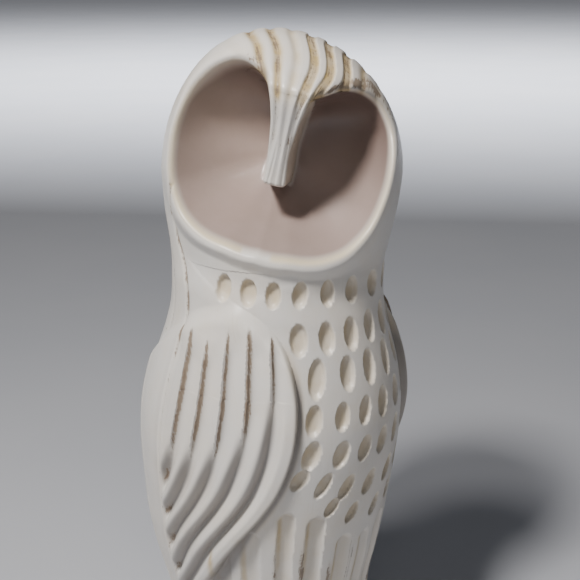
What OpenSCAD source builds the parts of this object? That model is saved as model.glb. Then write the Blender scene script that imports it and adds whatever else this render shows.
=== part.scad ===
// Barn owl figurine: slip-cast shells, luted wings and tail, a seated face dish with its brow ridge
// and beak, a closing disc and a felt. Millimetres, +Z up, origin at the centre of the resting face.
// The face looks along -Y and the body is turned toward +X under it.

/* [Overall] */
// Height from the table to the crown
total_h = 340; // [250:1:420]
// Wall thickness of the cast shells
wall_t = 6.5; // [4:0.5:9]
// How far the body is turned away from the way the face looks
body_turn = 56; // [0:1:80]
// Lean of the head, clockwise as seen from the front
head_roll = 12.5; // [0:0.5:20]

/* [Profile] */
// Half width at the foot
foot_r = 49; // [40:0.1:60]
// Half width at the belly, the widest place
belly_r = 66; // [55:0.1:75]
// Half width at the neck
neck_r = 51.3; // [42:0.1:60]
// Half width of the head
head_r = 56.7; // [48:0.1:65]
// Height where the head is cast separately
neck_z = 238; // [232:0.5:244]

/* [Face dish] */
// Half width of the dish between its side rims
dish_half_w = 50; // [44:0.5:53]
// Distance from the dish centre down to the chin rim
dish_chin = 39.5; // [34:0.5:44]
// Distance from the dish centre up to the notch between the two lobes
dish_notch = 30; // [24:0.5:36]
// Thickness of the dish
dish_t = 3.6; // [2.5:0.1:5]

/* [Brow ridge and beak] */
// Half width of the ridge where it leaves the crown
ridge_top_hw = 11.4; // [8:0.1:14]
// Half width of the blunt beak
beak_hw = 5.2; // [3.5:0.1:8]
// How far the beak tip stands forward of the dish centre
beak_reach = 32; // [24:0.5:38]
// How far the beak tip hangs below the dish centre
beak_drop = 12; // [6:0.5:18]

/* [Plumage] */
// Depth of the breast dimples
dimple_d = 2; // [1:0.1:3]
// Half width of a dimple
dimple_hw = 3.9; // [2.5:0.1:5]
// Thickness of the wing at its front edge
wing_t = 4.2; // [2.5:0.1:6]
// Depth of the grooves between wing feathers
groove_d = 1.6; // [0.6:0.1:2.4]
// Angle between two neighbouring wing grooves
groove_step = 11; // [8:0.5:14]
// Thickness of the tail
tail_t = 3.2; // [2:0.1:5]

/* [Base] */
// Thickness of the felt
felt_t = 1.5; // [1:0.1:3]
// Radius of the felt
felt_r = 47; // [40:0.5:48]
// Thickness of the closing disc
disc_t = 5; // [3:0.5:8]
// Radius of the vent hole in the closing disc
vent_r = 8; // [4:0.5:12]
// Clearance round a seated piece
fit_gap = 0.3; // [0.1:0.05:0.6]

/* [Hidden] */
ivory = [0.90, 0.87, 0.80];
taupe = [0.70, 0.63, 0.60];
bisque = [0.86, 0.80, 0.72];
felt_green = [0.22, 0.30, 0.22];
k = total_h / 340;              // every length below is for a 340 mm figurine and is multiplied by k
crown_z = 340;
brow_z = 275;                   // the head is an ellipse above this height
face_z = 285;                   // height of the dish centre
face_x = 7.5;
face_y = -4;
turn_dir = [sin(body_turn), -cos(body_turn)];
// [height, half width] of the near-round sections
profile = [[0, foot_r], [25, foot_r + 2.3], [50, foot_r + 3.8], [68, foot_r + 6.6], [86, foot_r + 10.6],
           [104, belly_r - 3.4], [122, belly_r - 1.5], [140, belly_r - 0.2], [149, belly_r],
           [158, belly_r - 0.3], [167, belly_r - 1.2], [176, belly_r - 3], [185, belly_r - 5.2],
           [194, neck_r + 6.7], [203, neck_r + 4], [212, neck_r + 1.9], [221, neck_r + 0.5],
           [230, neck_r], [239, neck_r + 0.6], [248, head_r - 3.2], [257, head_r - 1.7],
           [266, head_r - 0.6], [brow_z, head_r]];
// [height, how far the section centre leans toward the breast]
lean = [[0, -1.2], [60, -1.7], [100, -2], [140, 0], [170, 1.7], [200, 3.5], [230, 4.2], [250, 5.6],
        [275, 7], [290, 7.2], [310, 6.4], [325, 5], [340, 1.7]];
// [height, angle of the wing's front edge from the breast line]
wing_front = [[40, 104], [60, 97], [86, 77], [100, 69], [113, 61], [124, 54], [136, 48], [147, 44.5],
              [159, 42], [171, 41], [182, 41], [193, 43], [204, 47], [213, 54], [220, 64], [224, 78]];
// [height, angle of the wing's back edge]
wing_back = [[40, 110], [60, 121], [90, 134], [130, 145], [180, 150], [205, 140], [215, 124], [224, 92]];
// dimple rows: [height at the breast line, rise toward the wings, half height, [angle of each dimple]]
rows = [[226.5, 0.0005, 6.3, [-80, -66, -53, -39, -23.5, -7.5, 9, 25, 41, 56, 70, 84]],
        [207, 0, 7.6, [-40, -25.5, -11, 3.6, 19, 33]],
        [189.5, 0, 8.2, [-32, -16, -2, 13, 28]],
        [170.5, 0, 7.2, [-33.7, -20.5, -8, 4.5, 18.5, 33]],
        [151, 0.002, 6.6, [-34.7, -21, -8.3, 3.5, 16.7, 30]],
        [131.5, 0.0068, 6, [-39, -28.5, -17, -3.5, 12, 25, 37]],
        [115.3, 0.013, 5, [-23.5, -12, 3.7, 18, 30]]];
// half outline of the dish: [angle from the sideways axis, radius]
outline = [[-90, dish_chin], [-70, dish_chin + 2], [-54, dish_half_w - 3], [-41, dish_half_w + 0.5],
           [-26, dish_half_w + 1], [-10, dish_half_w], [8, dish_half_w], [25, dish_half_w + 1],
           [41, dish_half_w], [53, dish_half_w - 3.5], [62, dish_notch + 11], [67, dish_notch + 5],
           [73, dish_notch + 1.5], [90, dish_notch]];

// straight interpolation in a table of pairs, and the same smoothed over a short span
function tab(t, x, i = 0) = x <= t[0][0] ? t[0][1] : i >= len(t) - 1 ? t[len(t) - 1][1]
    : x <= t[i + 1][0] ? t[i][1] + (t[i + 1][1] - t[i][1]) * (x - t[i][0]) / (t[i + 1][0] - t[i][0])
    : tab(t, x, i + 1);
function soft(t, x, h) = (tab(t, x - h) + 2 * tab(t, x) + tab(t, x + h)) / 4;
function clamp(x, a = 0, b = 1) = min(b, max(a, x));
function step01(a, b, x) = let (t = clamp((x - a) / (b - a))) t * t * (3 - 2 * t);

function skin_r(z) = z > brow_z ? head_r * sqrt(max(0, 1 - pow((z - brow_z) / (crown_z - brow_z), 2)))
                                : soft(profile, z, 4);
function lean_at(z) = soft(lean, z, 5);
function skin_pt(a, z, off) = k * concat(lean_at(z) * turn_dir
    + (skin_r(z) + off) * [sin(a + body_turn), -cos(a + body_turn)], [z]);

// breast relief: dimples above, flutes below
function dimple(a, z, r) = let (w = dimple_hw / skin_r(z) * 180 / PI) max([for (c = r[3])
    let (zc = r[0] + r[1] * pow(c - 3, 2), d = pow((a - c) / w, 2) + pow((z - zc) / r[2], 2))
    d >= 1 ? 0 : pow(1 - d, 0.7)]);
function flute(a, z) = let (top = 116 - 0.012 * a * a, c = 13.5 * round(a / 13.5), s = (a - c) / 5.2)
    (abs(a) > 52 || z > top || abs(s) > 1) ? 0 : (1 - s * s) * step01(0, 12, top - z);
function relief(a, z) = -1.2 * step01(40, 70, z) * (1 - step01(206, 226, z))
    - dimple_d * max([for (r = rows) dimple(a, z, r)]) - 1.4 * flute(a, z);

// closed skin over a grid of points: wrapped rings, first ring to last ring, or the ring back to itself
function ring_faces(n, m, first = 0) = [for (j = [0:m - 2], i = [0:n - 1]) each
    [[first + j * n + i, first + (j + 1) * n + i, first + (j + 1) * n + (i + 1) % n],
     [first + j * n + i, first + (j + 1) * n + (i + 1) % n, first + j * n + (i + 1) % n]]];

// ---- trunk: hollow shell with a foot rebate and a neck socket ----
trunk_cols = concat([for (a = [-50:2.5:50]) a], [for (a = [60:10:300]) a]);
trunk_out = concat([felt_t, 12, 30, 48, 64, 78, 90, 100], [for (z = [106:3:235]) z], [neck_z]);
socket_r = neck_r - wall_t - 0.2;
trunk_in = [[neck_z, 2], [229, 2], [222, 0], [205, 0], [185, 0], [165, 0], [149, 0], [125, 0], [100, 0],
            [75, 0], [50, 0], [25, 0], [felt_t + disc_t + 5, 3], [felt_t + disc_t + fit_gap, 3],
            [felt_t + disc_t + fit_gap, 4], [felt_t, 4]];
disc_seat_r = foot_r - wall_t;
function inner_pt(a, z, kind) =
    kind == 2 ? k * concat(lean_at(234) * turn_dir
        + socket_r * [sin(a + body_turn), -cos(a + body_turn)], [z])
  : kind == 3 ? k * concat(lean_at(0) * turn_dir
        + (disc_seat_r - 3) * [sin(a + body_turn), -cos(a + body_turn)], [z])
  : kind == 4 ? k * concat(lean_at(0) * turn_dir
        + disc_seat_r * [sin(a + body_turn), -cos(a + body_turn)], [z])
  : skin_pt(a, z, -wall_t - 1.2);
module trunk() {
    n = len(trunk_cols);
    pts = concat([for (z = trunk_out, a = trunk_cols) skin_pt(a, z, relief(a > 180 ? a - 360 : a, z))],
                 [for (s = trunk_in, a = trunk_cols) inner_pt(a, s[0], s[1])]);
    m = len(trunk_out) + len(trunk_in);
    closing = [for (i = [0:n - 1]) each [[(m - 1) * n + i, i, (i + 1) % n],
                                         [(m - 1) * n + i, (i + 1) % n, (m - 1) * n + (i + 1) % n]]];
    color(ivory) polyhedron(pts, concat(ring_faces(n, m), closing), 4);
}

// ---- face frame: u across, v up the leaning head, w out of the face ----
function face_pt(u, v, w) = k * [face_x + u * cos(head_roll) + v * sin(head_roll), face_y - w,
                                 face_z - u * sin(head_roll) + v * cos(head_roll)];
function skin_w(u, v) = let (p = face_pt(u, v, 0) / k, c = lean_at(p[2]) * turn_dir)
    face_y - c[1] + sqrt(max(0, pow(skin_r(p[2]), 2) - pow(p[0] - c[0], 2)));
function fold(t) = let (s = (t + 720) % 360) s > 270 ? s - 360 : s > 90 ? 180 - s : s;
function rim_rad(t) = soft(outline, fold(t), 3);
// depth of the dish: shallow bowl below, steep under the brow
function bowl(t, q) = let (r = rim_rad(t), w = skin_w(r * cos(t), r * sin(t)) - 1,
                           up = step01(-0.3, 0.6, sin(t)))
    -2 + (w + 2) * pow(q, 2.2 + 1.8 * up);
function floor_w(u, v) = let (t = atan2(v, u), r = norm([u, v])) bowl(t, min(1, r / rim_rad(t)));
dish_ang = [for (t = [0:7.5:352.5]) t];
dish_q = [1, 0.93, 0.85, 0.75, 0.63, 0.5, 0.36, 0.2];

module polar_solid(grow, back_off, front_off, front_flat) {
    n = len(dish_ang);
    m = len(dish_q);
    function pq(t, q, w) = let (r = (rim_rad(t) + grow) * q) face_pt(r * cos(t), r * sin(t), w);
    back = [for (q = dish_q, t = dish_ang) pq(t, q, bowl(t, q) + back_off)];
    front = [for (q = dish_q, t = dish_ang) pq(t, q, front_flat ? 90 : bowl(t, q) + front_off)];
    pts = concat(front, back, [face_pt(0, 0, front_flat ? 90 : bowl(0, 0) + front_off),
                               face_pt(0, 0, bowl(0, 0) + back_off)]);
    f0 = n * m;
    function quad(a, b, c, d, flip) = flip ? [[a, c, b], [a, d, c]] : [[a, b, c], [a, c, d]];
    faces = concat(
        [for (j = [0:m - 2], i = [0:n - 1]) each quad(j * n + i, j * n + (i + 1) % n,
            (j + 1) * n + (i + 1) % n, (j + 1) * n + i, true)],
        [for (j = [0:m - 2], i = [0:n - 1]) each quad(f0 + j * n + i, f0 + j * n + (i + 1) % n,
            f0 + (j + 1) * n + (i + 1) % n, f0 + (j + 1) * n + i, false)],
        [for (i = [0:n - 1]) each quad(i, (i + 1) % n, f0 + (i + 1) % n, f0 + i, false)],
        [for (i = [0:n - 1]) [(m - 1) * n + i, 2 * f0, (m - 1) * n + (i + 1) % n]],
        [for (i = [0:n - 1]) [f0 + (m - 1) * n + i, f0 + (m - 1) * n + (i + 1) % n, 2 * f0 + 1]]);
    polyhedron(pts, faces, 4);
}
module face_dish() color(taupe) polar_solid(0, -dish_t, 0, false);

// ---- head: hollow shell with a neck spigot, opened for the dish ----
module egg(off, z0, cols) {
    low = [for (s = [0:5]) z0 + (brow_z - z0) * s / 6];
    high = [for (t = [0:7:84]) brow_z + (crown_z - brow_z + off) * sin(t)];
    zs = concat(low, high);
    function egg_r(z) = z <= brow_z ? skin_r(z) + off
        : (head_r + off) * sqrt(1 - pow((z - brow_z) / (crown_z - brow_z + off), 2));
    n = cols;
    m = len(zs);
    pts = concat([for (z = zs, i = [0:n - 1]) let (a = 360 * i / n)
        k * concat(lean_at(z) * turn_dir + egg_r(z) * [sin(a), -cos(a)], [z])],
        [k * concat(lean_at(z0) * turn_dir, [z0]),
         k * concat(lean_at(crown_z) * turn_dir, [crown_z + off])]);
    polyhedron(pts, concat(ring_faces(n, m),
        [for (i = [0:n - 1]) [i, (i + 1) % n, n * m]],
        [for (i = [0:n - 1]) [(m - 1) * n + i, n * m + 1, (m - 1) * n + (i + 1) % n]]), 4);
}
spigot_len = 8;
module neck_at(z) translate(k * concat(lean_at(234) * turn_dir, [z])) children();
// resize keeps the whole cut shell as one closed skin at its own size
module head() color(ivory) resize([0, 0, 0]) difference() {
    union() {
        egg(0, neck_z, 54);
        neck_at(neck_z - spigot_len)
            cylinder(r = k * (socket_r - fit_gap - 0.2), h = k * (spigot_len + 1), $fn = 72);
    }
    egg(-wall_t, neck_z + 4, 32);
    neck_at(neck_z - spigot_len - 1)
        cylinder(r = k * (socket_r - fit_gap - 5), h = k * (spigot_len + 14), $fn = 72);
    polar_solid(fit_gap, -dish_t - fit_gap, 0, true);
}

// faces of a closed slab whose two sheets are both m rows of n points, listed one after the other
function sheet_faces(m, n) = let (b = m * n) concat(
    [for (j = [0:m - 2], i = [0:n - 2]) let (p = j * n + i)
        each [[p, p + n, p + n + 1], [p, p + n + 1, p + 1]]],
    [for (j = [0:m - 2], i = [0:n - 2]) let (p = b + j * n + i)
        each [[p, p + n + 1, p + n], [p, p + 1, p + n + 1]]],
    [for (j = [0:m - 2]) let (p = j * n) each [[p, b + p + n, p + n], [p, b + p, b + p + n]]],
    [for (j = [0:m - 2]) let (p = j * n + n - 1) each [[p, p + n, b + p + n], [p, b + p + n, b + p]]],
    [for (i = [0:n - 2]) each [[i, b + i + 1, b + i], [i, i + 1, b + i + 1]]],
    [for (i = [0:n - 2]) let (p = (m - 1) * n + i) each [[p, b + p, b + p + 1], [p, b + p + 1, p + 1]]]);

// ---- brow ridge narrowing down to the blunt beak ----
ridge_v = [for (i = [0:12]) dish_notch - 0.5 - (dish_notch - 0.5 + beak_drop) * i / 12];
ridge_s = [for (i = [0:20]) -1 + i / 10];
function ridge_hw(v) = beak_hw + (ridge_top_hw - beak_hw) * pow(clamp((v + 2) / (dish_notch + 2)), 1.7);
function ridge_crest(v) = let (t = clamp((dish_notch - v) / (dish_notch + beak_drop)),
                               top = skin_w(0, dish_notch) - 0.6)
    top + (beak_reach - top) * pow(t, 0.8);
function rib(s, v) = 0.5 * pow(abs(sin(s * 450)), 1.5) * (1 - pow(abs(s), 6));
module brow_beak() {
    m = len(ridge_v);
    n = len(ridge_s);
    function crest(s, v) = ridge_crest(v) - ridge_hw(v) * 0.5 * pow(abs(s), 3.2) - rib(s, v);
    front = [for (v = ridge_v, s = ridge_s) face_pt(s * ridge_hw(v), v, crest(s, v))];
    back = [for (v = ridge_v, s = ridge_s) let (u = s * (ridge_hw(v) + 1.2))
        face_pt(u, v, max(floor_w(u, v), floor_w(u + 0.7, v), floor_w(u - 0.7, v)) + fit_gap + 0.4)];
    flipped = [for (f = sheet_faces(m, n)) [f[0], f[2], f[1]]];
    color(ivory) polyhedron(concat(front, back), flipped, 4);
}

// ---- patches that lie on the trunk: wings and tail ----
module patch(edge_a, edge_b, zs, cols, thick) {
    m = len(zs);
    n = len(cols);
    function at(z, s) = tab(edge_a, z) + (tab(edge_b, z) - tab(edge_a, z)) * s;
    base = [for (z = zs, s = cols) skin_pt(at(z, s), z, relief(180, z) + fit_gap)];
    top = [for (j = [0:m - 1], s = cols) let (z = zs[j], d = s * (tab(edge_b, z) - tab(edge_a, z)))
        skin_pt(at(z, s), z, relief(180, z) + fit_gap + thick_of(thick, d, s, z))];
    side = tab(edge_b, zs[1]) > tab(edge_a, zs[1]);
    faces = sheet_faces(m, n);
    flipped = [for (f = faces) [f[0], f[2], f[1]]];
    polyhedron(concat(top, base), side ? flipped : faces, 4);
}
// 1 in the middle of each line spaced step apart, falling to 0 beside it
function groove_at(d, step) = let (x = abs(d) / step, n = round(x)) n < 1 ? 0 : clamp(1 - abs(x - n) * 2.6);
function thick_of(kind, d, s, z) = kind == "tail"
    ? 1 + (tail_t - 1) * pow(sin(clamp(s) * 180), 0.35) * (1 - step01(118, 140, z))
        - 1.2 * groove_at(d + 5.5, 11) * (1 - step01(100, 135, z))
    : 1 + (wing_t - 1) * (1 - 0.6 * step01(0.35, 1, s)) * (1 - 0.75 * step01(196, 222, z))
            * (0.35 + 0.65 * step01(0, 0.05, s))
        - groove_d * groove_at(d, groove_step) * (abs(d) > 6.4 * groove_step ? 0 : 1)
            * (1 - step01(190, 212, z)) * (wing_t > 3 ? 0.9 : 0.5);
wing_cols = [for (i = [0:34]) pow(i / 34, 1.15)];
wing_rows = [for (i = [0:22]) 41 + 182.5 * i / 22];
tail_rows = [for (i = [0:10]) 14 + 124 * i / 10];
tail_cols = [for (i = [0:16]) i / 16];
module wing(side) patch([for (e = wing_front) [e[0], side * e[1]]],
                        [for (e = wing_back) [e[0], side * e[1]]], wing_rows, wing_cols, "wing");
module wing_right() color(ivory) wing(-1);
module wing_left() color(ivory) wing(1);
module tail() color(ivory) patch([[14, 154], [60, 158], [100, 164], [138, 172]],
                                 [[14, 206], [60, 202], [100, 196], [138, 188]],
                                 tail_rows, tail_cols, "tail");

// ---- base ----
module base_disc() color(bisque) translate(k * concat(lean_at(0) * turn_dir, [felt_t])) difference() {
    cylinder(r = k * (disc_seat_r - fit_gap), h = k * disc_t, $fn = 96);
    translate([0, 0, -1]) cylinder(r = k * vent_r, h = k * (disc_t + 2), $fn = 48);
}
module felt_base() color(felt_green) cylinder(r = k * felt_r, h = k * felt_t, $fn = 96);

trunk();
head();
face_dish();
brow_beak();
wing_right();
wing_left();
tail();
base_disc();
felt_base();
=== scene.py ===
import math
import bpy
import numpy as np
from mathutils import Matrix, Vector


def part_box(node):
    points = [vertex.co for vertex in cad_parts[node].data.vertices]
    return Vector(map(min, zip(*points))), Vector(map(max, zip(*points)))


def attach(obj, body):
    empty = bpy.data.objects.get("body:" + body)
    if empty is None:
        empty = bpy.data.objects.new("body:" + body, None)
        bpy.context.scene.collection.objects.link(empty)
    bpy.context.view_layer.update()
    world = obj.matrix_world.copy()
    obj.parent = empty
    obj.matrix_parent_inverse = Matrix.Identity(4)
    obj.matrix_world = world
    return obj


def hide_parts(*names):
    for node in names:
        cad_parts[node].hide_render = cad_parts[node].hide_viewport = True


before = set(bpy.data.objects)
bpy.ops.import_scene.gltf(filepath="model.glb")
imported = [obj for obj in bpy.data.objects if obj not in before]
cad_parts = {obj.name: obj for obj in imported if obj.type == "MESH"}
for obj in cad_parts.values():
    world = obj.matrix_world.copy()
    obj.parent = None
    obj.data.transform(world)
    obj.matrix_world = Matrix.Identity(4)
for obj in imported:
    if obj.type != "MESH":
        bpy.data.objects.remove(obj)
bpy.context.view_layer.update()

f32 = np.float32
RAD, TAU = 0.017453, 6.28318

# ---------------------------------------------------------------- figure, in millimetres
NECK_Z, BROW_Z, CROWN_Z = 238.0, 275.0, 340.0
HEAD_R = 56.7
FELT_T = 1.5
TURN = math.radians(56.0)          # body turned away from the way the face looks
ROLL = math.radians(12.5)          # lean of the head
FACE = (7.5, -4.0, 285.0)          # centre of the face dish
TD = (math.sin(TURN), -math.cos(TURN))

PROFILE = [(0, 49), (25, 51.3), (50, 52.8), (68, 55.6), (86, 59.6), (104, 62.6), (122, 64.5), (140, 65.8),
           (149, 66), (158, 65.7), (167, 64.8), (176, 63), (185, 60.8), (194, 58), (203, 55.3), (212, 53.2),
           (221, 51.8), (230, 51.3), (239, 51.9), (248, 53.5), (257, 55), (266, 56.1), (275, 56.7),
           (300, 56.7)]
LEAN = [(0, -1.2), (60, -1.7), (100, -2), (140, 0), (170, 1.7), (200, 3.5), (230, 4.2), (250, 5.6),
        (275, 7), (290, 7.2), (310, 6.4), (325, 5), (340, 1.7)]
RIM = [(-90, 39.5), (-70, 41.5), (-54, 47), (-41, 50.5), (-26, 51), (-10, 50), (8, 50), (25, 51), (41, 50),
       (53, 46.5), (62, 41), (67, 35.5), (73, 32), (90, 31)]
WING_FRONT = [(20, 112), (40, 104), (60, 96), (86, 77), (100, 69), (113, 61), (124, 54), (136, 48),
              (147, 44.5), (159, 42), (171, 41), (182, 41), (193, 43), (204, 47), (213, 54), (220, 64),
              (225, 78), (240, 110)]
WING_TOP = [(50, 233), (60, 226), (78, 222), (90, 219.5), (105, 212), (123, 199), (150, 178), (180, 160)]
BORDER_A = 102.5                   # smooth rear band of the wing starts here
WING_BACK = [(28, 103), (40, 110), (60, 121), (90, 134), (130, 145), (180, 150), (205, 143), (224, 130)]


def lut(pairs, lo, hi, step, sigma):
    n = int(round((hi - lo) / step)) + 1
    x = np.linspace(lo, hi, n)
    y = np.interp(x, [p[0] for p in pairs], [p[1] for p in pairs])
    if sigma > 0:
        k = np.arange(-int(3 * sigma / step), int(3 * sigma / step) + 1) * step
        w = np.exp(-0.5 * (k / sigma) ** 2)
        w /= w.sum()
        pad = len(k) // 2
        left = 2 * y[0] - y[1:pad + 1][::-1]
        right = 2 * y[-1] - y[-pad - 1:-1][::-1]
        y = np.convolve(np.concatenate([left, y, right]), w, "valid")
    y = y.astype(f32)

    def look(q):
        t = np.clip((q - lo) / step, 0, n - 1.001).astype(f32)
        i = t.astype(np.int32)
        return y[i] + (y[i + 1] - y[i]) * (t - i)
    return look


def slope_of(fn, lo, hi, step):
    x = np.arange(lo, hi + step, step)
    g = np.gradient(fn(x), step)
    return lut(list(zip(x, g)), lo, hi, step, 0)


skin_r = lut(PROFILE, -10, 300, 0.5, 4.0)
skin_s = slope_of(skin_r, -10, 300, 0.5)
lean = lut(LEAN, -10, 360, 0.5, 6.0)
front_a = lut(WING_FRONT, -10, 260, 0.5, 3.5)
front_s = slope_of(front_a, -10, 260, 0.5)
top_z = lut(WING_TOP, 0, 180, 0.5, 5.0)
back_a = lut(WING_BACK, 0, 345, 0.5, 4.0)
line_a = lut([(0, 117), (60, 117), (110, 120), (130, 120), (150, 123), (170, 127), (195, 128),
              (240, 122)], 0, 260, 1, 6)
neck_a = lut([(200, 103.5), (215, 104), (227, 105), (233, 109), (246, 116.5), (258, 118), (267, 116.5),
              (285, 112), (305, 104)], 190, 340, 1, 4)


def step01(a, b, x):
    t = np.clip((x - a) / (b - a), 0, 1)
    return t * t * (3 - 2 * t)


def bump(x, w):
    return np.exp(-(x / w) ** 2)


def smax(a, b, k):
    h = np.clip(0.5 + 0.5 * (a - b) / k, 0, 1)
    return b + (a - b) * h + k * h * (1 - h)


def smin(a, b, k):
    return -smax(-a, -b, k)


def waves(x, y, seed, scale):
    """A few long soft waves: the hand-made unevenness."""
    rng = np.random.default_rng(seed)
    out = 0
    for _ in range(6):
        ax, ay, ph = rng.normal(0, 1, 2).tolist() + [rng.random() * 6.28]
        out = out + np.sin((ax * x + ay * y) / scale + ph)
    return out / 6


# ---- body surface -------------------------------------------------------------
def body(P):
    """Section radius, angle from the breast in degrees, and height of each point."""
    x, y, z = P[..., 0], P[..., 1], P[..., 2]
    c = lean(z)
    qx, qy = x - c * TD[0], y - c * TD[1]
    rho = np.sqrt(qx * qx + qy * qy)
    a = np.degrees(np.arctan2(qx, -qy)) - math.degrees(TURN)
    a = np.mod(a + 180, 360) - 180
    return rho, a, z


# height on the breast line, rise, half height, half width, slant, angle of each dimple
DIMPLES = [(226.5, 0.0005, 6.7, 4.0, 0.0, (-80, -66, -53, -39, -23.5, -7.5, 9, 25, 41, 56, 70, 84)),
           (207.2, 0.0, 8.1, 4.3, 0.02, (-40, -25.5, -11, 3.6, 19, 33)),
           (189.8, 0.0, 9.0, 4.5, 0.05, (-32, -16, -2, 13, 28)),
           (170.8, 0.0, 7.8, 4.4, 0.12, (-33.7, -20.5, -8, 4.5, 18.5, 33)),
           (151.2, 0.0022, 7.2, 4.5, 0.25, (-34.7, -21, -8.3, 3.5, 16.7, 30)),
           (131.8, 0.0062, 6.4, 4.2, 0.4, (-39, -28.5, -17, -3.5, 12, 25, 37)),
           (115.4, 0.0130, 5.6, 3.9, 0.4, (-23.5, -12, 3.7, 18, 30))]
dimple_list = []
_rng = np.random.default_rng(41)
for z0, rise, hh, hw, slant, angs in DIMPLES:
    for ang in angs:
        dimple_list.append((ang, z0 + rise * (ang - 3) ** 2 + _rng.normal(0, 0.25),
                            hw * (1 + _rng.normal(0, 0.05)), hh * (1 + _rng.normal(0, 0.05)),
                            slant + _rng.normal(0, 0.03)))
dimple_arr = np.array(dimple_list, f32)


def dimple_field(a, z, r):
    """0 outside, 1 in the middle of the nearest dimple; second value leans to its upper left edge, where
    painted shade is laid.
    """
    out = np.zeros(a.shape, f32)
    side = np.zeros(a.shape, f32)
    sel = (np.abs(a) < 92) & (z > 104) & (z < 242)
    if not sel.any():
        return out, side
    aa, zz, rr = a[sel], z[sel], r[sel]
    best = np.zeros(aa.shape, f32)
    bs = np.zeros(aa.shape, f32)
    fa = front_a(zz)
    for ang, z0, hw, hh, slant in dimple_arr:
        m = (np.abs(aa - ang) < 9) & (np.abs(zz - z0) < 11)
        if not m.any():
            continue
        dx = (aa[m] - ang) * rr[m] * RAD
        dz = zz[m] - z0
        ex = dx - slant * dz
        q = (ex / hw) ** 2 + (dz / hh) ** 2
        v = np.clip(1 - q, 0, 1)
        w = best[m]
        s = bs[m]
        s = np.where(v > w, np.clip(-ex / hw * 0.8 + dz / hh * 0.45, -1, 1), s)
        best[m] = np.maximum(w, v)
        bs[m] = s
    hide = step01(-4.5, -1.0, (np.abs(aa) - fa) * rr * RAD)   # dimples stop at the wing
    hide = np.where(zz > 219, 0, hide)
    out[sel] = best * (1 - hide)
    side[sel] = bs
    return out, side


FLUTES = [(0, 104, 4.6, 1.2), (14.2, 107, 5.0, 2.6), (30.0, 122, 5.2, 3.0), (43.5, 126.5, 4.4, 3.0),
          (59.0, 116, 5.0, 2.2), (73, 104, 5.0, 2.0)]
THIN = [(9.3, 104), (-7.6, 100), (24.5, 112), (-9.2, 106)]
NAPE = [(17.0, 0.6), (36.0, 0.5), (56.0, 0.4)]     # degrees behind the neck line, strength
FEATHER_STEP = 10.3                                # degrees between the feather lines
WING_HEIGHT, SCOOP_DEPTH, RIB_DEPTH = 5.2, 2.2, 4.3
DIMPLE_DEPTH, TAIL_HEIGHT, CHIN_DEPTH = 2.7, 3.0, 2.3


def flutes(a, z, r):
    d = np.zeros(a.shape, f32)
    sel = z < 132
    if not sel.any():
        return d
    aa, zz, rr = a[sel], z[sel], r[sel]
    o = np.zeros(aa.shape, f32)
    for c, top, hw, depth in FLUTES:
        for s in ((1, -1) if c else (1,)):
            x = (aa - s * c - 0.02 * (top - zz) * s * 0.5) * rr * RAD / hw
            arch = top - 3.0 * x * x
            m = np.clip(1 - x * x, 0, 1) ** 0.9 * step01(0, 3.6, arch - zz)
            m = m * (1 - 0.35 * step01(0, 60, arch - zz))
            o = np.maximum(o, depth * m)
    d[sel] = o
    return d


def wing_inside(b, z, k):
    """Millimetres behind the wing's front edge."""
    fs = front_s(z) * k
    return (b - front_a(z)) * k / np.sqrt(1 + fs * fs)


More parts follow.
